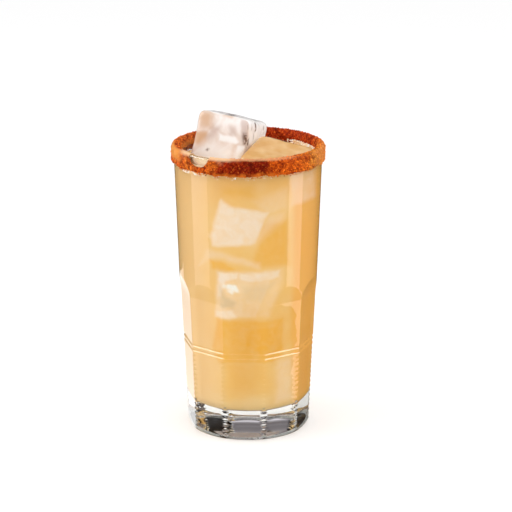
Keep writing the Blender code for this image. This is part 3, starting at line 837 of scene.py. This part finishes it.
# Most of the right side is painted white: painted light.
SEEN_ON_CUBE_SIDE = (
    ("shade", 0.06, 0.60, ((-1.0, 0.95), (-0.90, 0.95), (-0.80, 0.50), (-1.0, 0.45))),
    ("white", 0.06, 1.00, ((-0.90, 0.98), (1.0, 1.0), (1.0, 0.10), (-0.70, 0.30))),
    ("crack", 0.03, 0.90, (
        (-0.40, 0.93), (-0.28, 0.93), (-0.24, 0.72), (-0.30, 0.66), (-0.38, 0.76),
    )),
    ("crack", 0.03, 0.60, ((0.44, 0.86), (0.52, 0.86), (0.50, 0.74), (0.42, 0.76))),
    ("crack", 0.05, 0.90, (
        (-1.0, 0.50), (-0.84, 0.50), (-0.76, 0.36), (-0.90, 0.10), (-1.0, 0.16),
    )),
    ("crack", 0.05, 0.90, ((-0.76, 0.42), (-0.64, 0.44), (-0.62, 0.22), (-0.74, 0.14))),
)
# The whole top is painted white: painted light.
SEEN_ON_CUBE_TOP = (
    ("white", 0.06, 0.80, ((-1.0, -1.0), (1.0, -1.0), (1.0, 1.0), (-1.0, 1.0))),
    ("stain", 0.08, 0.90, ((-0.60, -0.6), (0.20, -1.0), (0.30, -0.4), (-0.50, 0.9))),
    ("crack", 0.06, 0.50, ((-0.05, -0.9), (0.30, -0.9), (0.10, 0.1), (-0.2, 0.3))),
)


def depth_inside(x, y, corners):
    """How far a point lies inside an outline, or below 0, how far outside."""
    nearest = math.inf
    inside = False
    ax, ay = corners[-1]
    for bx, by in corners:
        if (ay > y) != (by > y) and x < (bx - ax) * (y - ay) / (by - ay) + ax:
            inside = not inside
        run_x = bx - ax
        run_y = by - ay
        part = ((x - ax) * run_x + (y - ay) * run_y) / (run_x**2 + run_y**2)
        part = min(max(part, 0.0), 1.0)
        nearest = min(nearest, math.hypot(x - ax - part * run_x, y - ay - part * run_y))
        ax, ay = bx, by
    return nearest if inside else -nearest


def paint_shapes(obj, side_of, kinds):
    """Stores on each point how strongly each kind of shape shows there. side_of gives a place's
    two coordinates on a painted side, and that side's shapes."""
    layers = {kind: [0.0] * len(obj.data.vertices) for kind in kinds}
    for number, vert in enumerate(obj.data.vertices):
        x, y, shapes = side_of(vert.co)
        for kind, soft, strength, corners in shapes:
            near_x = min(c[0] for c in corners) - soft < x < max(c[0] for c in corners) + soft
            near_y = min(c[1] for c in corners) - soft < y < max(c[1] for c in corners) + soft
            if near_x and near_y:
                shown = strength * soft_step(depth_inside(x, y, corners), -soft, soft)
                layers[kind][number] = max(layers[kind][number], shown)
    store(obj.data, layers)


def drink_side(place):
    """The front wall of the drink, in mm, with edges as uneven as melting leaves them."""
    if place.y > 0.0 or math.hypot(place.x, place.y) < inner_radius(place.z) - 0.001:
        return 0.0, 0.0, ()
    stray = noise.noise_vector(place / 0.006) + 0.5 * noise.noise_vector(place / 0.002)
    return place.x / MM + 0.5 * stray.x, place.z / MM + 0.5 * stray.z, SEEN_IN_DRINK


def drink_outline(level):
    """From the middle of the floor, out and up the wall, and in over the surface."""
    floor = FLOOR_HEIGHT - OVERLAP
    fillet_top = FLOOR_HEIGHT + FLOOR_FILLET
    fillet_x = inner_radius(fillet_top) - FLOOR_FILLET
    fillet = arc(fillet_x, fillet_top, FLOOR_FILLET + OVERLAP, -90.0, 0.0, 9)
    wall_top = level + MENISCUS
    wall = [(inner_radius(z) + OVERLAP, z) for z in spaced(fillet_top, wall_top, 0.0006)[1:]]
    meniscus = []
    for step in range(1, 7):
        part = step / 6
        rise = MENISCUS * (1 - part) ** 2
        meniscus.append((inner_radius(level) - MENISCUS_WIDTH * part, level + rise))
    middle = [(meniscus[-1][0] * part, level) for part in (0.8, 0.6, 0.4, 0.2)]
    return [
        (0.0, floor), (fillet_x * 0.5, floor), *fillet, *wall, *meniscus, *middle, (0.0, level)
    ]


def make_drink(material):
    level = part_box("drink")[1].z
    angles = [math.radians(3 * k) for k in range(60)]
    angles += [math.radians(k) for k in range(180, 360)]
    drink = revolve("grapefruit_drink", drink_outline(level), angles)
    hollows = bpy.data.collections.new("ice in the drink")
    for node in ("ice_cube_left", "ice_cube_right"):
        hollow = copy_of_node("hollow_" + node, node)
        hollow.data.transform(shrink_about_middle(hollow, OVERLAP))
        hollows.objects.link(hollow)
    cut = drink.modifiers.new("room for the ice", "BOOLEAN")
    cut.operation = "DIFFERENCE"
    cut.solver = "EXACT"
    cut.operand_type = "COLLECTION"
    cut.collection = hollows
    bake(drink)
    paint_shapes(drink, drink_side, ("ice", "shade", "deep"))
    for hollow in list(hollows.objects):
        bpy.data.objects.remove(hollow)
    bpy.data.collections.remove(hollows)
    dress(drink, material)
    drink.data.set_sharp_from_angle(angle=math.radians(40))
    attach(drink, BODY)
    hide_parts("drink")


def shrink_about_middle(obj, inset):
    """A scaling about the middle of the object's box that moves its sides in by inset."""
    places = [vert.co for vert in obj.data.vertices]
    low = Vector([min(place[i] for place in places) for i in range(3)])
    high = Vector([max(place[i] for place in places) for i in range(3)])
    middle = (low + high) / 2
    scale = [1 - 2 * inset / (high[i] - low[i]) for i in range(3)]
    there = Matrix.Translation(middle)
    return there @ Matrix.Diagonal((*scale, 1.0)) @ there.inverted()


def grain_tree():
    """Geometry Nodes that strew grains over a surface and join them to one mesh."""
    tree, given = geometry_tree("strew grains", ("Density", "Small", "Large"), ("Seed",))
    cover = add(tree, "GeometryNodeInputNamedAttribute", {"Name": "cover"}, data_type="FLOAT")
    density = add(tree, MATH, (cover, given["Density"]), operation="MULTIPLY")
    strewn = add(tree, "GeometryNodeDistributePointsOnFaces", {
        "Mesh": given["Geometry"], "Density": density, "Seed": given["Seed"],
    })
    grain = add(tree, "GeometryNodeMeshIcoSphere", {"Radius": 1.0, "Subdivisions": 1})
    draw = {"Seed": given["Seed"]}
    longest = add(
        tree, RANDOM, {**draw, 0: (0.7, 0.7, 0.55), 1: (1.15, 1.15, 1.0)}, data_type="FLOAT_VECTOR"
    )
    chance = add(tree, RANDOM, {**draw, 2: 0.0, 3: 1.0}, data_type="FLOAT")
    rare = add(tree, MATH, (chance, 2.5), operation="POWER")
    span = add(tree, MATH, (given["Large"], given["Small"]), operation="SUBTRACT")
    size = add(tree, MATH, (rare, span, given["Small"]), operation="MULTIPLY_ADD")
    scale = add(tree, VECTOR_MATH, {0: longest, "Scale": size}, operation="SCALE")
    turn = add(
        tree, RANDOM, {**draw, 0: (0.0, 0.0, 0.0), 1: (6.28, 6.28, 6.28)}, data_type="FLOAT_VECTOR"
    )
    placed = add(tree, "GeometryNodeInstanceOnPoints", {
        "Points": strewn, "Instance": grain, "Rotation": turn, "Scale": scale,
    })
    other_seed = add(tree, MATH, (given["Seed"], 50.0), operation="ADD")
    tone = add(tree, RANDOM, {"Seed": other_seed, 2: 0.0, 3: 1.0}, data_type="FLOAT")
    toned = add(tree, "GeometryNodeStoreNamedAttribute", {
        "Geometry": placed, "Name": "tone", "Value": tone,
    }, data_type="FLOAT", domain="INSTANCE")
    joined = add(tree, "GeometryNodeRealizeInstances", {"Geometry": toned})
    painted = add(
        tree, "GeometryNodeSetMaterial", {"Geometry": joined, "Material": given["Material"]}
    )
    add(tree, "NodeGroupOutput", {0: painted})
    return tree


def keep_outside(obj):
    """Leaves only the faces of the crust that look away from the glass."""
    work = bmesh.new()
    work.from_mesh(obj.data)
    work.normal_update()
    wall_middle = RIM_RADIUS - RIM_WALL / 2
    hidden = []
    for face in work.faces:
        centre = face.calc_center_median()
        around = Vector((centre.x, centre.y, 0.0)).normalized()
        core = around * wall_middle
        core.z = min(centre.z, GLASS_HEIGHT - RIM_WALL / 2)
        if face.normal.dot(centre - core) < 0.0:
            hidden.append(face)
    bmesh.ops.delete(work, geom=hidden, context="FACES")
    work.to_mesh(obj.data)
    work.free()


def press_on(obj):
    """Thins the crust over the lip and down the inside, where it is only pressed into the rim."""
    lip = GLASS_HEIGHT - LIP_RADIUS
    for vert in obj.data.vertices:
        away = math.hypot(vert.co.x, vert.co.y)
        inside = away < RIM_RADIUS - RIM_WALL / 2
        if vert.co.z > lip:
            bend = inner_radius(lip) + LIP_RADIUS if inside else outer_radius(lip) - LIP_RADIUS
            side = away - bend
            up = vert.co.z - lip
            reach = math.hypot(side, up)
            kept = PRESSED if inside else PRESSED + (1.0 - PRESSED) * (side / reach) ** 2
            skin = max(reach - LIP_RADIUS - CRUST_GAP, 0.0)
            change = (reach - (1.0 - kept) * skin) / reach
            new_away = bend + side * change
            vert.co.z = lip + up * change
        elif inside:
            skin = max(inner_radius(vert.co.z) - CRUST_GAP - away, 0.0)
            new_away = away + (1.0 - PRESSED) * skin
        else:
            continue
        vert.co.x *= new_away / away
        vert.co.y *= new_away / away


def soft_step(value, start, end):
    """0 at start, 1 at end, and smooth between them. Start may be above end."""
    part = min(max((value - start) / (end - start), 0.0), 1.0)
    return part * part * (3.0 - 2.0 * part)


def mark_crust(obj):
    """Stores on each point how bare of chili the crust is, how smeared with syrup, and how
    thickly grains cover it. Inside at the back left the smear mark paints the crust lighter:
    painted light. Angles are in degrees from the camera's side."""
    marks = {"bare": [], "syrup_and_painted_light": [], "cover": []}
    for vert in obj.data.vertices:
        angle = math.degrees(math.atan2(vert.co.x, -vert.co.y))
        stray = noise.noise(vert.co / 0.003)
        lip = soft_step(vert.co.z + 0.0006 * stray, 0.1492, 0.1499)
        licked = lip * soft_step(angle, -68, -58) * soft_step(angle, -6, -18)
        away = math.hypot(vert.co.x, vert.co.y)
        inside = soft_step(away, RIM_RADIUS - 0.0012, RIM_RADIUS - 0.0020)
        behind_gap = inside * soft_step(angle, -68, -60) * soft_step(angle, -12, -20)
        licked = max(licked, behind_gap)
        outside = 1.0 if away > RIM_RADIUS - 0.0005 else 0.0
        syrup = outside * soft_step(vert.co.z + 0.001 * stray, 0.1440, 0.1458)
        syrup *= soft_step(angle, -104, -94) * soft_step(angle, -56, -66)
        right = 0.45 * outside * soft_step(angle, 54, 68) * soft_step(angle, 108, 94)
        # Inside at the back left, the smear colour paints the crust lighter: painted light, where
        # light comes through the left cube.
        back_left_painted_light = 0.6 * inside * soft_step(angle, -144, -128) * soft_step(angle, -94, -106)
        back_left_painted_light *= soft_step(vert.co.z, 0.1490, 0.1474)
        marks["bare"].append(licked)
        marks["syrup_and_painted_light"].append(max(syrup, right, back_left_painted_light))
        marks["cover"].append(1.0 - 0.93 * max(licked, syrup))
    store(obj.data, marks)


def crust_feet(steps):
    """The height of the crust's lower edge outside the glass, at each of so many angles."""
    feet = [GLASS_HEIGHT] * steps
    for vert in frame["nodes"]["chili_salt_rim"].data.vertices:
        if math.hypot(vert.co.x, vert.co.y) > outer_radius(vert.co.z):
            angle = math.atan2(vert.co.x, -vert.co.y)
            number = int((angle / (2 * math.pi) % 1.0) * steps) % steps
            feet[number] = min(feet[number], vert.co.z)
    return feet


def edge_strip(name, low, high, cover):
    """A strip on the glass along the crust's lower edge, for crumbs: cover is how many lie at
    an angle, in degrees from the camera's side."""
    steps = 84
    feet = crust_feet(steps)
    places = []
    for number in range(steps):
        angle = 2 * math.pi * (number + 0.5) / steps
        for height in (feet[number] + low, feet[number] + high):
            radius = outer_radius(height) + 0.00005
            places.append((radius * math.sin(angle), -radius * math.cos(angle), height))
    faces = []
    for number in range(steps):
        here = 2 * number
        after = 2 * ((number + 1) % steps)
        faces.append((here, after, after + 1, here + 1))
    strip = object_of(name, places, faces)
    values = [cover(math.degrees(math.atan2(x, -y))) for x, y, height in places]
    store(strip.data, {"cover": values})
    return strip


def salt_clump(angle):
    return soft_step(angle, -60, -54) * soft_step(angle, -40, -48)


def salt_cover(angle):
    """White salt shows along the front of the crust, most of all left of the bare patch."""
    front = soft_step(angle, -62, -52) * soft_step(angle, 34, 8)
    patchy = soft_step(noise.noise(Vector((angle / 7, 0.5, 0.5))), -0.35, 0.25)
    return 0.45 * front * patchy + 1.4 * salt_clump(angle)


def crumb_cover(angle):
    """Loose chili hangs under the crust in clumps, but hardly where the salt does."""
    clumps = soft_step(noise.noise(Vector((angle / 5, 4.5, 0.5))), -0.3, 0.3)
    return clumps * (1.0 - 0.85 * salt_clump(angle))


def inner_strip(name, start, end, low, high):
    """A strip on the inside of the crust's foot, between two angles in degrees. The salt on it
    thins out towards its end."""
    places = []
    values = []
    for angle in spaced(start, end, 4.0):
        turn = math.radians(angle)
        for height in (low, high):
            radius = inner_radius(height) - 0.0007
            places.append((radius * math.sin(turn), -radius * math.cos(turn), height))
            values.append(1.0 - 0.98 * soft_step(angle, start + 0.45 * (end - start), end))
    faces = []
    for here in range(0, len(places) - 2, 2):
        faces.append((here, here + 1, here + 3, here + 2))
    strip = object_of(name, places, faces)
    store(strip.data, {"cover": values})
    return strip


def make_crust(chili, salt):
    crust = copy_of_node("chili_crust", "chili_salt_rim")
    grains = copy_of_node("chili_grains", "chili_salt_rim")
    keep_outside(grains)
    for piece in (crust, grains):
        press_on(piece)
        mark_crust(piece)
    crumbs = edge_strip("chili_crumbs", low=-0.0013, high=0.0008, cover=crumb_cover)
    rim_salt = edge_strip("rim_salt", low=-0.0020, high=0.0004, cover=salt_cover)
    inner_salt = inner_strip("inner_salt", start=98.0, end=144.0, low=0.1436, high=0.1460)
    tree = grain_tree()
    strew = (
        (grains, chili, 2.2e6, 0.00018, 0.00058, 7),
        (crumbs, chili, 5.0e6, 0.00016, 0.00045, 8),
        (rim_salt, salt, 4.4e6, 0.00020, 0.00050, 9),
        (inner_salt, salt, 1.7e7, 0.00030, 0.00075, 10),
    )
    for piece, material, density, small, large, seed in strew:
        run_nodes(piece, tree, {
            "Density": density, "Small": small, "Large": large, "Seed": seed,
            "Material": material,
        })
        dress(piece, material)
        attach(piece, BODY)
    dress(crust, chili)
    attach(crust, BODY)
    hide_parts("chili_salt_rim")


def area_light(name, place, width, height, power):
    """A softbox that looks at the middle of the drink and that nothing mirrors."""
    lamp = bpy.data.lights.new(name, "AREA")
    lamp.shape = "RECTANGLE"
    lamp.size = width
    lamp.size_y = height
    lamp.energy = power
    obj = bpy.data.objects.new(name, lamp)
    bpy.context.scene.collection.objects.link(obj)
    obj.location = place
    obj.rotation_euler = (DRINK_MIDDLE - Vector(place)).to_track_quat("-Z", "Y").to_euler()
    obj.visible_camera = False
    obj.visible_glossy = False


def reflection_card(name, azimuth, width, glow):
    """A glowing card that only reflections see: azimuth is counted from the camera's side, and
    glow is its strength at each height."""
    material, tree = blank_material(name)
    strength = add(tree, ATTRIBUTE, attribute_name="glow").outputs["Fac"]
    light = add(tree, "ShaderNodeEmission", {"Color": linear("#FFFFFF"), "Strength": strength})
    add(tree, MATERIAL_OUTPUT, {"Surface": light})
    angle = math.radians(azimuth)
    middle = Vector((math.sin(angle), -math.cos(angle), 0.0)) * CARD_DISTANCE
    side = Vector((math.cos(angle), math.sin(angle), 0.0)) * (width / 2)
    places = []
    for height, _ in glow:
        up = Vector((0.0, 0.0, height))
        places += [middle - side + up, middle + side + up]
    faces = [(k, k + 1, k + 3, k + 2) for k in range(0, len(places) - 2, 2)]
    card = object_of(name, places, faces)
    store(card.data, {"glow": [amount for _, amount in glow for _ in range(2)]})
    card.data.materials.append(material)
    card.visible_camera = False
    card.visible_diffuse = False
    card.visible_transmission = False
    card.visible_shadow = False


def make_world():
    """White for the eye and for the soft light all round. Clear glass bends its view into a
    studio that is grey behind, dark at the sides and bright overhead."""
    world = bpy.data.worlds.new("white studio")
    bpy.context.scene.world = world
    world.use_nodes = True
    tree = world.node_tree
    tree.nodes.clear()
    path = add(tree, "ShaderNodeLightPath").outputs
    direction = add(tree, COORDINATES).outputs["Generated"]
    parts = add(tree, SEPARATE, {0: direction}).outputs
    rise = parts["Z"]
    back_wall = add(tree, RAMP, (rise,), (
        (0.0, "#0A0808"), (0.005, "#F2EDF3"), (0.14, "#E4DDE4"), (0.19, "#A8A2A6"),
        (0.24, "#7E787B"), (0.3, "#6E686B"), (0.36, "#827C7F"), (0.43, "#757073"),
        (0.5, "#7E787B"), (0.57, "#948E91"), (0.64, "#FFFFFF"),
    ))
    # Dark flags stand behind, between grey gaps. Their edges lean and are a little uneven.
    behind = add(tree, MATH, (parts["X"], parts["Y"]), operation="ARCTAN2")
    leaning = add(tree, MATH, (rise, math.radians(5.0), behind), operation="MULTIPLY_ADD")
    uneven = add(tree, NOISE, {"Vector": direction, "Scale": 9.0, "Detail": 2.0})
    edge = add(tree, MATH, (uneven, math.radians(1.0), leaning), operation="MULTIPLY_ADD")
    around = add(tree, RANGE, (edge, math.radians(-44.5), math.radians(45.5)))
    flags = add(tree, RAMP, (around,), (
        (0.2756, "#FFFFFF"), (0.2789, "#000000"), (0.3267, "#000000"), (0.3300, "#FFFFFF"),
        (0.4206, "#FFFFFF"), (0.4239, "#000000"), (0.5811, "#000000"), (0.5844, "#FFFFFF"),
    ))
    low = add(tree, RANGE, (rise, 0.62, 0.56))
    dark = add(tree, MATH, (flags, low), operation="MULTIPLY")
    studio = add(tree, MIX, {"Factor": dark, 6: back_wall, 7: linear("#140E0A")}, data_type="RGBA")
    white = add(tree, "ShaderNodeBackground", {"Color": linear("#FFFFFF"), "Strength": 1.0})
    bent = add(tree, "ShaderNodeBackground", {"Color": studio, "Strength": 1.0})
    sharp = add(
        tree, MATH, (path["Is Glossy Ray"], path["Is Transmission Ray"]), operation="MAXIMUM"
    )
    unscattered = add(tree, MATH, (path["Diffuse Depth"], 0.5), operation="LESS_THAN")
    seen_bent = add(tree, MATH, (sharp, unscattered), operation="MULTIPLY")
    mixed = add(tree, "ShaderNodeMixShader", (seen_bent, white, bent))
    add(tree, "ShaderNodeOutputWorld", {"Surface": mixed})


def make_stage():
    work = bmesh.new()
    bmesh.ops.create_grid(work, x_segments=1, y_segments=1, size=3.0)
    table = object_of_work("table", work)
    table.data.materials.append(floor_finish())
    table.visible_glossy = False
    make_world()
    area_light("left softbox", (-0.8, -0.15, 0.5), 0.6, 0.9, 2.6)
    area_light("right softbox", (0.8, -0.15, 0.5), 0.6, 0.9, 1.6)
    area_light("front fill", (0.0, -1.1, 0.7), 0.8, 0.6, 1.6)
    low_left = ((-0.41, 0.0), (-0.37, 0.85), (-0.2, 1.1), (0.1, 2.1), (0.35, 2.2))
    low_right = ((-0.41, 0.0), (-0.37, 1.9), (-0.2, 1.8), (0.1, 1.4), (0.35, 1.4))
    back_low = ((-0.6, 1.8), (-0.36, 1.8), (-0.3, 1.4), (-0.205, 1.1))
    high = ((0.35, 9.0), (1.3, 9.0))
    reflection_card("left card", -82.5, 0.53, low_left)
    reflection_card("left upper card", -98.0, 0.8, high)
    reflection_card("left notch card", -111.0, 0.36, ((0.1, 3.5), (0.35, 3.5)))
    reflection_card("right card", 80.0, 0.44, low_right)
    reflection_card("right upper card", 79.0, 0.62, high)
    reflection_card("right notch card", 102.0, 0.26, ((0.1, 2.6), (0.35, 2.6)))
    reflection_card("back right upper card", 117.0, 0.62, high)
    reflection_card("front right card", 29.0, 0.2, ((0.42, 1.6), (0.62, 1.6)))
    reflection_card("back left card", -151.0, 0.5, back_low)


def make_camera():
    camera = bpy.data.objects.new("camera", bpy.data.cameras.new("camera"))
    bpy.context.scene.collection.objects.link(camera)
    camera.data.sensor_width = 36.0
    camera.data.lens = CAMERA_LENS
    camera.data.clip_start = 0.01
    camera.location = CAMERA_PLACE
    camera.rotation_euler = (math.pi / 2 - CAMERA_PITCH, 0.0, -CAMERA_YAW)
    bpy.context.scene.camera = camera


noise.seed_set(STRAY_SEED)
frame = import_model()

scene = bpy.context.scene
scene.view_settings.view_transform = "Standard"
scene.cycles.max_bounces = 24
scene.cycles.transmission_bounces = 20
scene.cycles.transparent_max_bounces = 24

make_camera()
make_stage()
make_tumbler(pressed_glass())
make_top_ice({"clear_ice": clear_ice(), "wet_ice": wet_ice()})
make_sunk_ice(milky_ice())
make_drink(cloudy_drink())
make_crust(chili_crust(), salt_grains())
